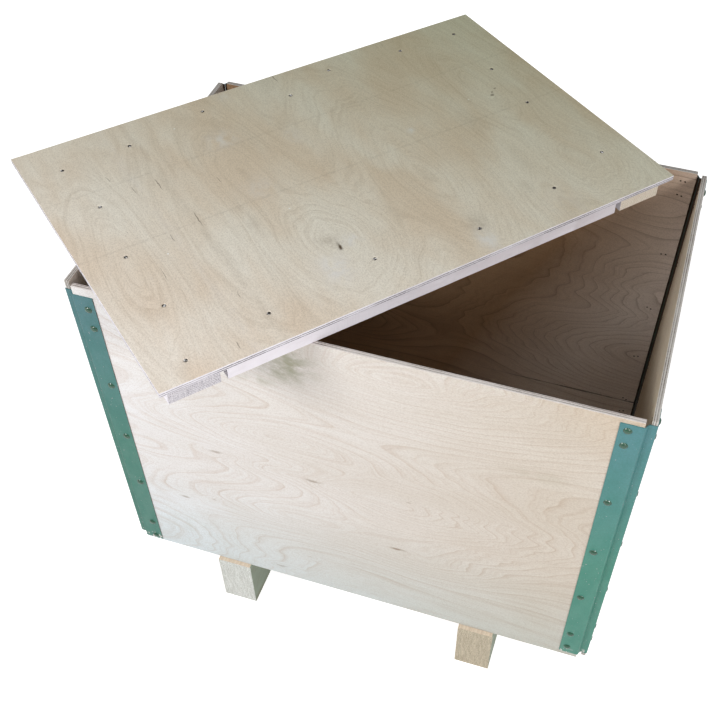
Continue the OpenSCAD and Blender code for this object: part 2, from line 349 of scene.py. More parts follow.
def build_jag(n, i):
    """Shifts places along the grain by Zigzag times a noise that is finer across it, so that
    the tips of the rings zigzag, and a little across the grain, so that long lines sway."""
    place = seeded(n, i)
    jag = n.math("SUBTRACT", n.noise(place, (8, 48, 1), 1.0, 0.4), 0.5)
    sway = n.math("SUBTRACT", n.noise(place, (9, 12, 1), 1.0), 0.5)
    shift = n.add("ShaderNodeCombineXYZ", {"X": n.math("MULTIPLY", jag, i["Zigzag"]),
                                           "Y": n.math("MULTIPLY", sway, 0.012)})
    return [n.vector("ADD", i["Grain"], shift)]


def build_growth_rings(n, i):
    """Growth rings of a peeled veneer. A smooth height lies over the sheet: a slope across
    the grain, long soft noise, and what comes in as Rise. A ring ends where the height
    passes a whole number. With t the part above the last one, its dark edge is
    t ^ Fade + t ^ 3 / 5, cut off just before t = 1, stronger and weaker in patches. Flow
    is a noise over the place along the grain and the height, and so its streaks run
    beside the rings."""
    place = seeded(n, i)
    swell = n.math("SUBTRACT", n.noise(place, (2.2, 8.5, 1), 1.2, 0.4), 0.5)
    across = n.add("ShaderNodeSeparateXYZ", {0: i["Grain"]}, 1)
    height = n.sum([n.math("MULTIPLY", across, i["Slope"]),
                    n.math("MULTIPLY", swell, i["Swell"]), i["Rise"]])
    part = n.math("FRACT", height)
    fade = n.math("ADD", n.math("POWER", part, i["Fade"]),
                  n.math("MULTIPLY", n.math("POWER", part, 3.0), 0.2))
    edge = n.span(part, 0.95, 1.0, 1.0, 0.0)
    patchy = n.span(n.noise(place, (6, 18, 1), 2.0), 0.35, 0.6, 0.45, 1.0)
    line = n.math("MULTIPLY", n.math("MULTIPLY", fade, edge), patchy)
    along = n.add("ShaderNodeSeparateXYZ", {0: place}, 0)
    beside = n.add("ShaderNodeCombineXYZ", {"X": along, "Y": height, "Z": i["Seed"]})
    flow = n.noise(beside, (9, 5.5, 1), 4.0, 0.65)
    return [line, flow, n.noise(place, (4.0, 9.0, 1), 3.0, 0.6)]


def build_fibre(n, i):
    """Wood fibre: streaks drawn out along the grain at three widths, short dark pores, and
    a fine sandy speckle."""
    place = seeded(n, i)
    broad = n.noise(place, (5, 150, 20), 2.0)
    fine = n.noise(place, (16, 700, 60), 2.0, 0.6)
    hair = n.noise(place, (90, 2200, 200), 1.0)
    streak = n.sum([n.math("MULTIPLY", broad, 0.35), n.math("MULTIPLY", fine, 0.4),
                    n.math("MULTIPLY", hair, 0.25)])
    pores = n.span(n.noise(place, (260, 1900, 300), 1.0), 0.64, 0.74)
    speckle = n.noise(place, (460, 640, 460), 3.0, 0.75)
    return [streak, pores, speckle]


def build_layers(n, i):
    """The plies seen at a sheet's edge: through / thickness runs over five plies, and the
    second and the fourth show end grain. Cross is one in their middle, Glue at joints."""
    through = n.add("ShaderNodeSeparateXYZ", {0: i["Grain"]}, 2)
    wave = n.math("MULTIPLY", n.math("SUBTRACT", n.noise(i["Grain"], (35, 35, 0), 2.0), 0.5), 0.16)
    share = n.math("ADD", n.math("DIVIDE", through, i["Thickness"]), 0.5)
    level = n.math("ADD", n.math("MULTIPLY", share, 5.0), wave)
    glue = n.span(n.math("ABSOLUTE", n.math("SUBTRACT", n.math("FRACT", level), 0.5)), 0.38, 0.5)
    cross = n.span(n.math("PINGPONG", level, 1.0), 0.3, 0.62)
    inner = n.math("MULTIPLY", n.math("GREATER_THAN", level, 0.5), n.math("LESS_THAN", level, 4.5))
    return [glue, n.math("MULTIPLY", cross, inner)]


def build_end_grain(n, i):
    """Sawn end grain: rings are circles round the pith, and the saw's torn fibres make
    specks and short strokes up and down the end."""
    across = n.vector("MULTIPLY", n.vector("SUBTRACT", i["Grain"], i["Pith"]), (0, 1, 1))
    wave = n.math("MULTIPLY", n.noise(i["Grain"], (0, 30, 30), 2.0), 0.004)
    radius = n.math("ADD", n.vector("LENGTH", across), wave)
    part = n.math("FRACT", n.math("MULTIPLY", radius, i["Rings"]))
    ring = n.math("POWER", part, 3.0)
    speck = n.noise(i["Grain"], (90, 900, 520), 3.0, 0.7)
    torn = n.noise(i["Grain"], (20, 420, 60), 3.0, 0.6)
    return [ring, speck, torn]


GRAIN_IN, SEED_IN = ("Grain", VECTOR, (0, 0, 0)), ("Seed", FLOAT, 0.0)
BELL = new_group(
    "bell", [GRAIN_IN, ("Centre", VECTOR, (0, 0, 0)), ("Reach", VECTOR, (1, 1, 1))],
    [("Value", FLOAT)], build_bell)
JAG = new_group(
    "jagged grain", [GRAIN_IN, SEED_IN, ("Zigzag", FLOAT, 0.08)],
    [("Grain", VECTOR)], build_jag)
GROWTH_RINGS = new_group(
    "growth rings", [GRAIN_IN, SEED_IN, ("Rise", FLOAT, 0.0), ("Slope", FLOAT, 14.0),
                     ("Swell", FLOAT, 4.0), ("Fade", FLOAT, 14.0)],
    [("Line", FLOAT), ("Flow", FLOAT), ("Tone", FLOAT)], build_growth_rings)
FIBRE = new_group(
    "wood fibre", [GRAIN_IN, SEED_IN],
    [("Streak", FLOAT), ("Pores", FLOAT), ("Speckle", FLOAT)], build_fibre)
LAYERS = new_group(
    "ply layers", [GRAIN_IN, ("Thickness", FLOAT, 0.0065)],
    [("Glue", FLOAT), ("Cross", FLOAT)], build_layers)
END_GRAIN = new_group(
    "end grain", [GRAIN_IN, ("Pith", VECTOR, (0, 0, 0)), ("Rings", FLOAT, 400.0)],
    [("Ring", FLOAT), ("Speck", FLOAT), ("Torn", FLOAT)], build_end_grain)


def bells(n, grain, spots):
    """The sum of the bells over spots of (along, across, reach along, reach across, weight),
    in millimetres from the sheet's middle. An empty list gives plain zero."""
    parts = [n.math("MULTIPLY", n.group(BELL, Grain=grain, Centre=(u * MM, v * MM, 0),
                                        Reach=(ru * MM, rv * MM, 1))["Value"], weight)
             for u, v, ru, rv, weight in spots]
    return n.sum(parts) if parts else 0.0


def grain_of(n):
    """The place in the timber that each vertex carries: along, across and through it."""
    return n.add("ShaderNodeAttribute", out="Vector", attribute_name="grain")


HAZE_TONE, SPECK_TONE = (236, 234, 236), (250, 248, 246)
CRACK_TONE, SEAM_TONE = (76, 62, 48), (70, 56, 44)


def veneer(name, seed, pale, deep, ring, eyes=(), knots=(), hazes=(), shades=(), cracks=(),
           specks=(), jags=(), seams=(), tints=(), slope=14.0, swell=4.0, zigzag=0.05,
           ring_share=0.5, knot_tone=(120, 96, 70), shade_tone=(118, 96, 70)):
    """A bare veneer face. pale and deep are the colours that its tone wanders between, and
    ring is the colour of a ring's dark edge. eyes raise the rings' height, knots are dark
    spots that the rings bend round, hazes are pale cloudy patches and shades dark ones.
    jags are places where the rings zigzag more by their weight. cracks are fine dark
    strokes, seams straight dark lines, specks white dots. Each tint (direction, low, high,
    colour) multiplies the colour in, more and more from low to high along a direction."""

    def build(n):
        grain = grain_of(n)
        zigzags = n.math("ADD", bells(n, grain, jags), zigzag)
        jagged = n.group(JAG, Grain=grain, Seed=seed, Zigzag=zigzags)["Grain"]
        dents = [(u, v, 1.9 * ru, 2.4 * rv, -2.4) for u, v, ru, rv, _ in knots]
        rings = n.group(GROWTH_RINGS, Grain=jagged, Seed=seed, Rise=bells(n, jagged, [*eyes, *dents]),
                        Slope=slope, Swell=swell)
        fibre = n.group(FIBRE, Grain=grain, Seed=seed)
        colour = n.mix(n.span(rings["Tone"], 0.3, 0.7), paint(*deep), paint(*pale))
        colour = n.mix(n.span(rings["Flow"], 0.3, 0.56, 0.16, 0.0), colour, paint(*ring))
        colour = n.mix(n.math("MULTIPLY", rings["Line"], ring_share), colour, paint(*ring))
        colour = n.mix(n.span(fibre["Streak"], 0.36, 0.6, 0.08, 0.0), colour, paint(*ring))
        colour = n.mix(n.span(fibre["Speckle"], 0.34, 0.6, 0.2, 0.0), colour, paint(*knot_tone))
        colour = n.mix(n.math("MULTIPLY", fibre["Pores"], 0.12), colour, paint(*knot_tone))
        scatter = n.add("ShaderNodeTexNoise", {"Vector": grain, "Scale": 90.0, "Detail": 3.0}, 1)
        scatter = n.vector("SUBTRACT", scatter, (0.5, 0.5, 0.5))
        ragged_place = n.vector("ADD", grain, n.vector("MULTIPLY", scatter, (0.012, 0.005, 0)))
        cloudy = n.span(n.noise(grain, (42, 60, 1), 4.0, 0.6), 0.32, 0.62)
        for spots, tone in ((hazes, HAZE_TONE), (shades, shade_tone)):
            if spots:
                cloud = n.math("MULTIPLY", bells(n, ragged_place, spots), cloudy)
                colour = n.mix(cloud, colour, paint(*tone))
        if knots:
            colour = n.mix(n.span(bells(n, ragged_place, knots), 0.12, 0.95), colour, paint(*knot_tone))
        if cracks:
            stroke = n.span(bells(n, ragged_place, cracks), 0.35, 0.75)
            colour = n.mix(n.math("MULTIPLY", stroke, 0.6), colour, paint(*CRACK_TONE))
        if seams:
            line = n.math("MINIMUM", bells(n, grain, seams), 0.8)
            line = n.math("MULTIPLY", line, n.span(cloudy, 0, 1, 0.45, 1))
            colour = n.mix(line, colour, paint(*SEAM_TONE))
        if specks:
            colour = n.mix(n.span(bells(n, grain, specks), 0.4, 0.6), colour, paint(*SPECK_TONE))
        for direction, low, high, tint in tints:
            along = n.vector("DOT_PRODUCT", grain, direction)
            share = n.span(along, low * MM, high * MM, smooth=False)
            colour = n.mix(share, colour, paint(*tint), "MULTIPLY")
        height = n.sum([n.math("MULTIPLY", fibre["Streak"], 0.6),
                        n.math("MULTIPLY", rings["Line"], -0.25)])
        bump = n.add("ShaderNodeBump", {"Strength": 0.12, "Distance": 0.0006, "Height": height})
        rough = n.span(fibre["Streak"], 0.3, 0.7, 0.52, 0.66)
        return {"Base Color": colour, "Roughness": rough, "Normal": bump}

    return new_material(name, build, Specular_IOR_Level=0.3)


def ply_edge(name, seed, light, dark, glue):
    """The sawn edge of a plywood sheet, with its plies by turns along and across the grain.
    light and dark are the colours that it wanders between, and glue is the colour of the
    joints and of the end grain."""

    def build(n):
        grain = grain_of(n)
        layers = n.group(LAYERS, Grain=grain)
        place = n.vector("ADD", grain, (seed, seed, 0))
        speck = n.span(n.noise(place, (500, 500, 900), 2.0, 0.65), 0.3, 0.7)
        torn = n.span(n.noise(place, (45, 45, 300), 2.0), 0.35, 0.65)
        colour = n.mix(n.math("MULTIPLY", torn, 0.35), paint(*light), paint(*dark))
        worn = n.span(n.noise(place, (14, 14, 0), 2.0), 0.35, 0.6, 0.5, 1.0)
        cross = n.math("MULTIPLY", n.math("MULTIPLY", layers["Cross"], worn),
                       n.span(speck, 0, 1, 0.6, 1.0))
        colour = n.mix(cross, colour, paint(*glue))
        joint = n.math("MULTIPLY", layers["Glue"], n.span(torn, 0, 1, 0.1, 0.35))
        colour = n.mix(joint, colour, paint(*glue))
        height = n.sum([n.math("MULTIPLY", layers["Glue"], -1.0), n.math("MULTIPLY", speck, -0.5)])
        bump = n.add("ShaderNodeBump", {"Strength": 0.35, "Distance": 0.0004, "Height": height})
        return {"Base Color": colour, "Roughness": n.span(speck, 0.0, 1.0, 0.62, 0.8), "Normal": bump}

    return new_material(name, build, Specular_IOR_Level=0.3)


def sawn_face(name, seed, pale, deep, ring, side_shade=()):
    """A sawn softwood face: straight rings along the board, fibre, and the saw's faint
    ripples across it. Its last argument lists (low, high, colour) that multiply in across the board, as
    painted shade along one side."""

    def build(n):
        grain = grain_of(n)
        rings = n.group(GROWTH_RINGS, Grain=grain, Seed=seed, Slope=170.0, Swell=9.0, Fade=2.2)
        fibre = n.group(FIBRE, Grain=grain, Seed=seed)
        saw = n.noise(n.vector("ADD", grain, (seed, 0, 0)), (330, 6, 6), 1.0)
        colour = n.mix(n.span(rings["Tone"], 0.3, 0.7), paint(*deep), paint(*pale))
        colour = n.mix(n.math("MULTIPLY", rings["Line"], 0.45), colour, paint(*ring))
        colour = n.mix(n.span(fibre["Streak"], 0.36, 0.62, 0.35, 0.0), colour, paint(*ring))
        # painted shade: these colours darken the board across one side
        for low, high, tint in side_shade:
            across = n.add("ShaderNodeSeparateXYZ", {0: grain}, 1)
            colour = n.mix(n.span(across, low * MM, high * MM), colour, paint(*tint), "MULTIPLY")
        height = n.sum([n.math("MULTIPLY", fibre["Streak"], 1.2), n.math("MULTIPLY", saw, 0.5)])
        bump = n.add("ShaderNodeBump", {"Strength": 0.3, "Distance": 0.001, "Height": height})
        rough = n.span(fibre["Streak"], 0.3, 0.7, 0.62, 0.78)
        return {"Base Color": colour, "Roughness": rough, "Normal": bump}

    return new_material(name, build, Specular_IOR_Level=0.25)


def sawn_end(name, pith, pale, deep, ring, rings_per_m=420.0):
    """A sawn softwood end: rings round the pith, a place in the timber, torn fibre and
    specks."""

    def build(n):
        grain = grain_of(n)
        end = n.group(END_GRAIN, Grain=grain, Pith=pith, Rings=rings_per_m)
        colour = n.mix(n.span(end["Torn"], 0.35, 0.68), paint(*deep), paint(*pale))
        colour = n.mix(n.math("MULTIPLY", end["Ring"], 0.35), colour, paint(*ring))
        colour = n.mix(n.span(end["Speck"], 0.34, 0.56, 0.55, 0.0), colour, paint(*ring))
        height = n.sum([n.math("MULTIPLY", end["Speck"], 1.0), n.math("MULTIPLY", end["Torn"], 1.2)])
        bump = n.add("ShaderNodeBump", {"Strength": 0.5, "Distance": 0.0012, "Height": height})
        rough = n.span(end["Speck"], 0.3, 0.7, 0.75, 0.9)
        return {"Base Color": colour, "Roughness": rough, "Normal": bump}

    return new_material(name, build, Specular_IOR_Level=0.2)


def place_of(n):
    """The place in the row frame, which is the piece's own."""
    return n.add("ShaderNodeTexCoord", out="Object")


# The strips' green at its foot and at its top, where its blue is painted reflection, with the
# heights in metres between which it turns, its mottles and grains, and its painted shade on the
# left, from one place along X to another
GREEN_LOW, GREEN_TOP, GREEN_FROM, GREEN_TO = paint(53, 129, 110), paint(74, 127, 135), 0.34, 0.62
GREEN_MOTTLE, GREEN_GRAIN = paint(46, 110, 96), paint(36, 92, 82)
LEFT_PAINTED_SHADE, LEFT_SHADE_FROM, LEFT_SHADE_TO = paint(222, 230, 232), 0.1, -0.2
# What lies on the green, its pale spots, the dark brown painted shade on the side that faces
# inwards, and the heights over which spots end
DUST, PALE_SPOT, INNER_PAINTED_SHADE = paint(206, 184, 190), paint(220, 212, 208), paint(80, 62, 50)
SPOTS_FROM, SPOTS_TO = 0.106, 0.124
# The rivets' enamel where it is thin and thick, their bare prongs in a dark brown that is
# painted shade, and the nails, bright and, in patches, dull and dark as painted shade
ENAMEL_THIN, ENAMEL_THICK, PRONG_STEEL_AND_SHADE = paint(0, 66, 40), paint(3, 78, 52), paint(58, 44, 36)
NAIL_BRIGHT, NAIL_DULL_AND_SHADE = paint(200, 198, 196), paint(40, 34, 30)


def green_paint(n):
    """Satin coating on sheet steel. It is bluer towards the top, which is painted reflection, and
    darker on the left, which is painted shade. It is mottled, finely grained and flecked with pale
    dust, and it has pale spots at the lower end. The side that faces the inside of the box is
    painted dark brown, as painted shade for the gaps at the corners: there the surface's direction
    and the way to it from the middle line point against each other."""
    place = place_of(n)
    height = n.add("ShaderNodeSeparateXYZ", {0: place}, 2)
    mottle = n.span(n.noise(place, (60, 60, 30), 4.0, 0.6), 0.3, 0.7)
    grained = n.noise(place, (480, 480, 480), 3.0, 0.7)
    # painted reflection: the green turns bluer towards the top
    colour = n.mix(n.span(height, GREEN_FROM, GREEN_TO, smooth=False), GREEN_LOW, GREEN_TOP)
    colour = n.mix(n.math("MULTIPLY", mottle, 0.22), colour, GREEN_MOTTLE)
    colour = n.mix(n.span(grained, 0.35, 0.65, 0.25, 0.0), colour, GREEN_GRAIN)
    # painted shade: the green darkens towards the left
    left = n.span(n.add("ShaderNodeSeparateXYZ", {0: place}, 0), LEFT_SHADE_FROM, LEFT_SHADE_TO)
    colour = n.mix(left, colour, LEFT_PAINTED_SHADE, "MULTIPLY")
    dust = n.math("MULTIPLY", n.span(n.noise(place, (520, 520, 300), 1.0), 0.75, 0.78), 0.8)
    colour = n.mix(dust, colour, DUST)
    pale_spots = n.math("MULTIPLY", n.span(n.noise(place, (190, 190, 150), 2.0), 0.56, 0.6),
                    n.span(height, SPOTS_FROM, SPOTS_TO, 1.0, 0.0))
    colour = n.mix(pale_spots, colour, PALE_SPOT)
    # painted shade: the side that faces inwards turns dark brown, for the shaded gaps at the corners
    outwards = n.vector("MULTIPLY", place, (1, 1, 0))
    facing = n.vector("DOT_PRODUCT", n.vector("NORMALIZE", outwards),
                      n.add("ShaderNodeTexCoord", out="Normal"))
    colour = n.mix(n.span(facing, -0.2, -0.05, 1.0, 0.0), colour, INNER_PAINTED_SHADE)
    draw = n.noise(place, (900, 900, 14), 1.0)
    bump = n.add("ShaderNodeBump", {"Strength": 0.05, "Distance": 0.0004,
                                    "Height": n.math("ADD", draw, n.math("MULTIPLY", mottle, 0.6))})
    return {"Base Color": colour, "Roughness": n.span(mottle, 0.0, 1.0, 0.36, 0.48), "Normal": bump}


def enamel(n):
    """Dark green enamel that pooled unevenly on the rivet heads. Inside the walls the same
    rivets end in prongs of bare steel, dark brown as painted shade of the holes their tips enter."""
    place = place_of(n)
    pool = n.span(n.noise(place, (380, 380, 380), 2.0), 0.3, 0.7)
    colour = n.mix(pool, ENAMEL_THIN, ENAMEL_THICK)
    past_wall = n.vector("SUBTRACT", n.vector("ABSOLUTE", place), (WALL_X, WALL_Y, 0))
    past = n.add("ShaderNodeSeparateXYZ", {0: past_wall}, out=None).outputs
    inside = n.math("LESS_THAN", n.math("MAXIMUM", past["X"], past["Y"]), 0.0005)
    # painted shade: the prongs turn dark brown, for the shaded holes that their tips enter
    colour = n.mix(inside, colour, PRONG_STEEL_AND_SHADE)
    bump = n.add("ShaderNodeBump", {"Strength": 0.15, "Distance": 0.0006,
                                    "Height": n.noise(place, (500, 500, 500), 1.0)})
    rough = n.span(pool, 0.0, 1.0, 0.18, 0.3)
    coat = n.math("SUBTRACT", 1.0, inside)
    return {"Base Color": colour, "Roughness": rough, "Normal": bump, "Coat Weight": coat}


def nail_steel(n):
    """Bright nail heads, dulled in patches, which are also darkened as painted shade of the nail holes."""
    place = place_of(n)
    dull_and_shaded = n.span(n.noise(place, (420, 420, 420), 2.0, 0.6), 0.42, 0.52)
    # painted shade: the dull patches are near black, for the dark nail holes
    colour = n.mix(dull_and_shaded, NAIL_BRIGHT, NAIL_DULL_AND_SHADE)
    return {"Base Color": colour, "Roughness": n.span(dull_and_shaded, 0.0, 1.0, 0.25, 0.6)}


# Finishes

RING_BROWN = (176, 136, 96)


def scattered_eyes(half_length=340, half_width=250, count=9):
    """Eyes strewn over a sheet, for the faces whose figure is free: evenly across the grain,
    at random along it and in their reaches and weights."""
    return [(RNG.uniform(-1, 1) * half_length, (2 * (k + 0.5) / count - 1) * half_width,
             RNG.uniform(70, 190), RNG.uniform(16, 50), RNG.uniform(3, 8)) for k in range(count)]


# Spots of each figured sheet, in the form that bells takes
FRONT_EYES = [
    (40, 232, 80, 20, 3.0), (80, 262, 270, 105, 15.0), (-105, 72, 50, 12, 1.6), (-95, 66, 165, 42, 8.0),
    (-118, -3, 45, 15, 2.6), (-75, -100, 75, 15, 2.6), (-60, -95, 190, 46, 6.0), (-34, -1, 60, 9, 3.0),
    (20, 0, 95, 22, 4.0), (75, -8, 120, 46, 5.0), (130, -12, 170, 78, 7.0), (112, -122, 85, 34, 4.0),
    (-330, -235, 170, 95, 8.0), (-310, -12, 80, 22, 2.6)]
FRONT_JAGS = [(170, -40, 90, 70, 0.07), (240, 230, 120, 40, 0.04)]
FRONT_KNOTS = [
    (-187, 7.5, 12, 3.2, 0.6), (-50, -1, 15, 3.4, 0.62), (81, 7.5, 4, 2.2, 0.5), (67, -108, 12, 3.0, 0.7),
    (-252, -122, 9, 2.8, 0.6), (-205, -110, 5, 2.4, 0.45), (-112, -240, 13, 2.8, 0.55),
    (-65, -192, 8, 2.0, 0.35)]
FRONT_HAZES = [
    (-300, 40, 60, 60, 0.35), (-235, -130, 55, 14, 0.5), (-190, 14, 30, 8, 0.4),
    (-100, -243, 40, 10, 0.3), (95, -100, 26, 7, 0.35)]
# The last three darken the sheet just under the lid's overhang: a greenish stain, and painted shadow of the
# overhang.
FRONT_SHADES = [
    (-250, -195, 60, 30, 0.1), (245, 128, 40, 12, 0.12), (-66, 222, 28, 26, 0.6),
    (-80, 198, 26, 12, 0.35), (-112, 178, 30, 9, 0.3)]

LID_EYES = [
    (-120, 75, 90, 60, 7.0), (60, 110, 130, 50, 5.0), (-60, -90, 190, 75, 8.0), (-150, -270, 60, 45, 5.0),
    (60, -260, 160, 60, 4.0), (-40, 300, 160, 40, 4.0)]
LID_KNOTS = [(-131, 78, 8, 2.6, 1.0), (-189, -82, 3, 2.2, 0.7)]
LID_HAZES = [
    (-162, 100, 22, 18, 0.75), (-128, 62, 9, 13, 0.95), (-212, -78, 20, 12, 0.8), (131, 105, 20, 18, 0.55),
    (91, 20, 15, 10, 0.4), (24, -117, 6, 5, 1.0), (15, 107, 22, 22, 0.3), (226, 60, 12, 10, 0.5),
    (0, 235, 900, 7, 0.13), (-205, -200, 40, 30, 0.2)]
LID_SHADES = [
    (-118, 84, 14, 12, 0.35), (-180, -84, 16, 14, 0.3), (0, 202, 900, 5, 0.12), (-30, 146, 34, 8, 0.2),
    (160, 105, 12, 14, 0.15), (-155, -180, 12, 10, 0.15)]
LID_CRACKS = [
    (225, -22.5, 9, 0.8, 1.0), (88, 211, 14, 0.8, 1.0), (128, 261, 10, 0.7, 0.8), (93, 242, 9, 0.7, 0.8),
    (58, 143, 12, 0.7, 0.7), (2, 197.5, 18, 0.9, 1.0), (-13, 237.5, 12, 0.7, 0.8), (-68, 272, 22, 0.7, 0.7),
    (-142, 215, 8, 0.7, 0.7), (-212, 250, 8, 0.9, 0.8), (34, -258, 3, 4, 0.9), (40, -262, 3, 3, 0.8),
    (46, -270, 3, 4, 0.7), (22, 280, 7, 0.7, 0.6)]
LID_SEAMS = [(114.8, 0, 1.6, 1600, 0.09), (-2.7, 0, 1.6, 1600, 0.11)]
LID_SPECKS = [
    (186, 146, 1.4, 1.4, 1.0), (-38, 254, 1.4, 1.4, 1.0), (-38, 95, 1.4, 1.4, 1.0),
    (42, -224, 1.4, 1.4, 1.0)]

BACK_EYES = [
    (350, -100, 230, 85, 14.0), (340, 50, 110, 75, 9.0), (250, -20, 60, 28, -2.0), (300, 200, 160, 60, 7.0),
    (-250, 60, 160, 60, 8.0), (-200, -140, 150, 45, 8.0)]
BACK_SEAM = [(300, -199.8, 130, 1.1, 2.0)]

front_outside = veneer(
    "front_outside", 0.0, (242, 242, 244), (235, 233, 232), RING_BROWN, FRONT_EYES, FRONT_KNOTS,
    FRONT_HAZES, FRONT_SHADES, jags=FRONT_JAGS,
    # The first tint darkens the sheet towards the right, as painted shade, and the second cools it towards
    # the bottom, as painted light. The third warms the top right corner.
    tints=[((1, 0, 0), -330, 260, (226, 217, 203)), ((0, -1, 0), 60, 262, (238, 250, 255)),
           ((0.7, 0.7, 0), 330, 440, (250, 240, 226))],
    slope=18, zigzag=0.03, ring_share=0.42, knot_tone=(138, 112, 86), shade_tone=(128, 132, 84))
lid_top = veneer(
    "lid_top", 3.1, (250, 243, 232), (237, 219, 199), (160, 138, 110), LID_EYES, LID_KNOTS,
    LID_HAZES, LID_SHADES, LID_CRACKS, LID_SPECKS, seams=LID_SEAMS,
    # The tint darkens the lid and turns it greener towards the back: painted shade.
    tints=[((0.6, -0.8, 0), -380, 400, (196, 203, 182))],
    slope=16, swell=6, ring_share=0.14, knot_tone=(84, 68, 50))
back_inside = veneer(
    "back_inside", 5.7, (255, 241, 231), (245, 229, 217), (124, 96, 76), BACK_EYES,
    # The tint darkens the face from near its right end leftwards along a slanting line: painted shadow of
    # the lid.
    seams=BACK_SEAM, tints=[((-1, 0.5, 0), -290, -120, (192, 166, 136))],
    slope=4, zigzag=0.04, ring_share=0.62)
right_inside = veneer(
    "right_inside", 22.8, (240, 227, 205), (230, 217, 193), RING_BROWN, scattered_eyes(),
    slope=16, swell=7, zigzag=0.08, ring_share=0.4)
plain_faces = [
    veneer(f"veneer_{k}", 9.3 + 2.7 * k, (228, 222, 213), (218, 210, 199), RING_BROWN,
           scattered_eyes(), slope=16, swell=7, zigzag=0.08, ring_share=0.42)
    for k in range(5)]
sheet_edge = ply_edge("sheet_edge", 1.0, (232, 226, 222), (206, 199, 192), (112, 100, 92))
# The lid's edge, the battens' faces and the ends of all battens but the right one are near white with a
# lilac tinge: the lilac is painted cool sky light.
lid_edge = ply_edge("lid_edge", 2.0, (250, 246, 253), (232, 226, 234), (84, 76, 80))
side_edge = ply_edge("side_edge", 3.0, (208, 205, 200), (184, 180, 174), (112, 100, 90))
batten_face = sawn_face("batten_face", 2.0, (248, 244, 251), (238, 233, 240), (210, 200, 204))
# painted shade: the runners' right sides turn greenish grey
runner_face = sawn_face("runner_face", 4.0, (231, 216, 196), (216, 200, 180), (180, 154, 126),
                        [(-24, -26.2, (170, 196, 196))])
batten_end = sawn_end(
    "batten_end", (0, 0.06, -0.05), (240, 236, 241), (222, 218, 224), (100, 92, 102))
cream_end = sawn_end(
    "cream_end", (0, 0.06, -0.05), (250, 241, 228), (243, 232, 217), (200, 184, 158))
pale_end = sawn_end(
    "pale_end", (0, 0.012, 0.03), (240, 242, 238), (218, 220, 214), (140, 134, 122), 330.0)
tan_end = sawn_end(
    "tan_end", (0, -0.01, 0.03), (216, 205, 183), (194, 183, 162), (126, 110, 86), 330.0)

# The inner faces of the side walls and of the front and back walls, from the middle
WALL_X = float(points_of("right_panel")[:, 0].min())
WALL_Y = float(points_of("back_panel")[:, 1].min())
strip_green = new_material("strip_green", green_paint, Specular_IOR_Level=0.4)
rivet_green = new_material("rivet_enamel", enamel, Coat_Roughness=0.04, Coat_IOR=1.55,
                           Specular_IOR_Level=0.0)
nail_metal = new_material("nail_steel", nail_steel, Metallic=0.9)


# Pieces

LONG, SHORT = lid_directions()


def nail_places(node):
    """Middles of the nail heads of a node, at the heads' upper face."""
    points = points_of(node)
    top = points[points[:, 2] > points[:, 2].max() - LEVEL]
    return [group.mean(0) for group in clusters(top, NAIL_REACH)]


def sheet(name, node, axes, over, under, edge, **more):
    """A plywood sheet with its two faces and its sawn edges."""
    board(name, node, axes, [over, under, edge, edge], PLY_EASE, PLY_BITE, **more)


def timber(name, node, axes, face, end):
    """A sawn board with long-grain faces and end grain at its ends."""
    board(name, node, axes, [face, face, face, end], SAWN_EASE, SAWN_BITE)


def domed(outline, profile):
    """A dome over a closed outline, an array of shape (n, 2): for each (share, height) of the
    profile the outline is shrunk to that share at that height, and one face ends it."""
    rings = [np.column_stack([outline * share, np.full(len(outline), height)])
             for share, height in profile]
    count = len(outline) * len(rings)
    faces = grid_faces(len(rings), len(outline), wrap=True)[:, ::-1].tolist()
    return np.concatenate(rings), [*faces, list(range(count - len(outline), count))]


def rivet(points, outwards):
    """One rivet in place of the node's points. Its head is highest in the middle and falls
    as cos(pi / 2 * x ^ 1.75), x the share of its radius. Inside the wall lie the rounded
    tips of its two prongs, bent flat to either side."""
    depth = points @ outwards
    top, base = depth.max(), depth.min()
    middle = points[depth > top - LEVEL].mean(0)
    flat = (points - middle) - np.outer((points - middle) @ outwards, outwards)
    away = np.linalg.norm(flat, axis=1)
    head = away[depth > top - HEAD_DEPTH].max()
    seat = depth[(away > head - RIM) & (depth > top - HEAD_DEPTH)].min()
    levels = np.unique(np.round(depth[depth < base + PRONG_DEPTH], 5))
    prong = depth < base + LEVEL
    tip = flat[prong][away[prong].argmax()]
    along = tip / np.linalg.norm(tip)
    beside = np.cross(outwards, along)
    turn = np.linspace(0, 2 * np.pi, DOME_SIDES, endpoint=False)
    circle = np.column_stack([np.cos(turn), np.sin(turn)])
    bulge = [(x, (top - seat) * np.cos(np.pi / 2 * x ** 1.75))
             for x in np.linspace(1, 0.06, HEAD_STEPS)]
    verts, faces = domed(circle * head, bulge)
    verts = middle + outwards * (seat - middle @ outwards) + verts @ [along, beside, outwards]
    half_length, half_width = 0.6 * PRONG_WIDTH, 0.5 * PRONG_WIDTH
    curl = [(np.cos(t), np.sin(t) * (levels[1] - levels[0])) for t in np.linspace(0, 1.5, TIP_STEPS)]
    button, pad = domed(circle * (half_length, half_width), curl)
    wall = middle + outwards * (levels[1] - middle @ outwards)
    for side in (1, -1):
        spot = wall + along * side * (away[prong].max() - half_length)
        faces.extend([k + len(verts) for k in f] for f in pad)
        verts = np.concatenate([verts, spot + button @ [along, -beside, -outwards]])
    return verts, faces


def rivets(node):
    """All rivets of a node. Those of a side leaf point along X, the others along Y."""
    points = points_of(node)
    axis = RIGHT if node.endswith("side") else BACK
    outwards = axis * np.sign((points @ axis).mean())
    verts, faces, count = [], [], 0
    for group in clusters(points, RIVET_REACH):
        more, quads = rivet(group, outwards)
        verts.append(more)
        faces.extend([k + count for k in f] for f in quads)
        count += len(more)
    add_piece(node + "_heads", np.concatenate(verts), faces, node, [rivet_green])


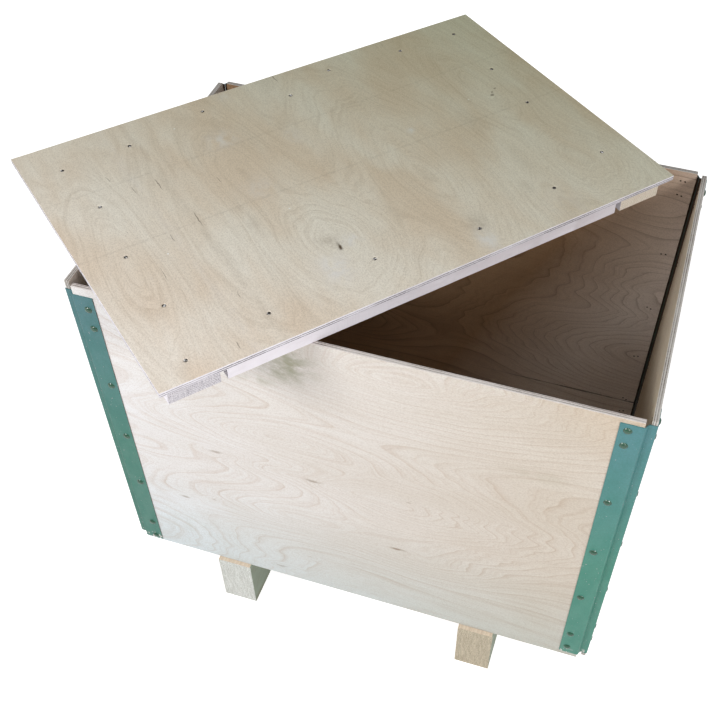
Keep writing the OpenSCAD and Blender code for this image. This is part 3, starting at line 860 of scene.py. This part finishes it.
sheet("front_board", "front_panel", [RIGHT, UP, FRONT], front_outside, plain_faces[4], sheet_edge)
sheet("back_board", "back_panel", [RIGHT, UP, FRONT], back_inside, plain_faces[1], side_edge)
sheet("right_board", "right_panel", [BACK, UP, RIGHT], plain_faces[2], right_inside, side_edge)
sheet("left_board", "left_panel", [FRONT, UP, LEFT], plain_faces[1], plain_faces[2], side_edge)
sheet("floor_board", "floor_panel", [RIGHT, BACK, UP], plain_faces[3], plain_faces[0], sheet_edge,
      nails=nail_places("floor_nails"), dip=FLOOR_DIP)
sheet("lid_board", "lid_panel", [SHORT, -LONG, UP], lid_top, plain_faces[2], lid_edge,
      nails=nail_places("lid_nails"), dip=LID_DIP)
for side, runner_end, end in (("left", pale_end, batten_end), ("right", tan_end, cream_end)):
    timber(f"runner_{side}_beam", f"runner_{side}", [BACK, LEFT, UP], runner_face, runner_end)
    timber(f"batten_{side}_board", f"lid_batten_{side}", [SHORT, -LONG, UP], batten_face, end)
for side in ("front", "back"):
    timber(f"batten_{side}_board", f"lid_batten_{side}", [LONG, SHORT, UP], batten_face, batten_end)

for node, shown in frame["nodes"].items():
    if node.startswith("rivets"):
        rivets(node)
    elif node.startswith("strip") or node.endswith("nails"):
        shown.data.materials.clear()
        shown.data.materials.append(strip_green if node.startswith("strip") else nail_metal)


# Camera, light and floor

def aim(thing, eye, down, forward):
    """Puts a camera or lamp at eye and turns it to look along forward, with the direction
    down at the lower side of its picture."""
    forward = Vector(forward).normalized()
    up = -(Vector(down) - forward * forward.dot(Vector(down))).normalized()
    right = forward.cross(up)
    turned = Matrix((right, up, -forward)).transposed().to_4x4()
    thing.matrix_world = Matrix.Translation(eye) @ turned


CAMERA_PLACE = (0.28974, -0.96307, 1.45335)
CAMERA_DOWN = (0.23523, -0.72057, -0.65226)
CAMERA_FORWARD = (-0.18655, 0.62514, -0.75789)
camera = bpy.data.objects.new("camera", bpy.data.cameras.new("camera"))
bpy.context.scene.collection.objects.link(camera)
camera.data.sensor_width = 36.0
camera.data.lens = 51.488
camera.data.shift_x, camera.data.shift_y = -0.05858, 0.05985
camera.data.clip_start, camera.data.clip_end = 0.05, 50
aim(camera, CAMERA_PLACE, CAMERA_DOWN, CAMERA_FORWARD)
bpy.context.scene.camera = camera


def softbox(name, place, towards, width, power):
    """A square white lamp at a place that faces a point."""
    lamp = bpy.data.lights.new(name, "AREA")
    lamp.shape, lamp.size, lamp.energy = "SQUARE", width, power
    holder = bpy.data.objects.new(name, lamp)
    bpy.context.scene.collection.objects.link(holder)
    aim(holder, place, (0, 0.01, -1), Vector(towards) - Vector(place))


softbox("left lamp", (-0.96, -1.29, 1.4), (0, -0.15, 0.5), 0.4, 12.0)
softbox("right lamp", (1.25, -1.35, 1.35), (0, -0.15, 0.5), 0.4, 14.0)
softbox("high lamp", (0.35, -1.7, 2.1), (0, -0.1, 0.5), 0.8, 6.0)


def seen_directly(n):
    """One for what the camera sees, itself or through glass or in a glossy face."""
    path = n.add("ShaderNodeLightPath", out=None).outputs
    glossy = n.math("MAXIMUM", path["Is Glossy Ray"], path["Is Transmission Ray"])
    return n.math("MAXIMUM", path["Is Camera Ray"], glossy)


world = bpy.data.worlds.new("studio")
bpy.context.scene.world = world
world.use_nodes = True
air = Nodes(world.node_tree)
backdrop = world.node_tree.nodes["Background"]
AIR_LIGHT, AIR_SEEN = 0.38, 1.0
strength = air.span(seen_directly(air), 0, 1, AIR_LIGHT, AIR_SEEN, smooth=False)
air.feed(backdrop.inputs["Strength"], strength)
backdrop.inputs["Color"].default_value = (1, 1, 1, 1)


def floor_white(n):
    """Matt pale paper. Where it is seen it also glows, more with the distance from the
    middle, and so it stays white to the horizon while the object's shadow shows."""
    place = place_of(n)
    cloud = n.span(n.noise(place, (2, 2, 2), 3.0), 0.3, 0.7)
    glow = n.span(n.vector("LENGTH", place), 0.4, 2.2, 0.66, 1.0)
    return {"Base Color": n.mix(cloud, (0.90, 0.90, 0.90, 1), (0.93, 0.93, 0.93, 1)),
            "Emission Strength": n.math("MULTIPLY", seen_directly(n), glow)}


FLOOR_REACH = 14.0
floor_mesh = bpy.data.meshes.new("floor")
floor_corners = np.array([(-1, -1, 0), (1, -1, 0), (1, 1, 0), (-1, 1, 0)]) * FLOOR_REACH
floor_mesh.from_pydata(floor_corners, [], [(0, 1, 2, 3)])
floor = bpy.data.objects.new("floor", floor_mesh)
bpy.context.scene.collection.objects.link(floor)
floor_paper = new_material("floor_paper", floor_white, Roughness=0.9, Specular_IOR_Level=0.1,
                           Emission_Color=(1, 1, 1, 1))
floor_mesh.materials.append(floor_paper)

bpy.context.scene.view_settings.view_transform = "Standard"
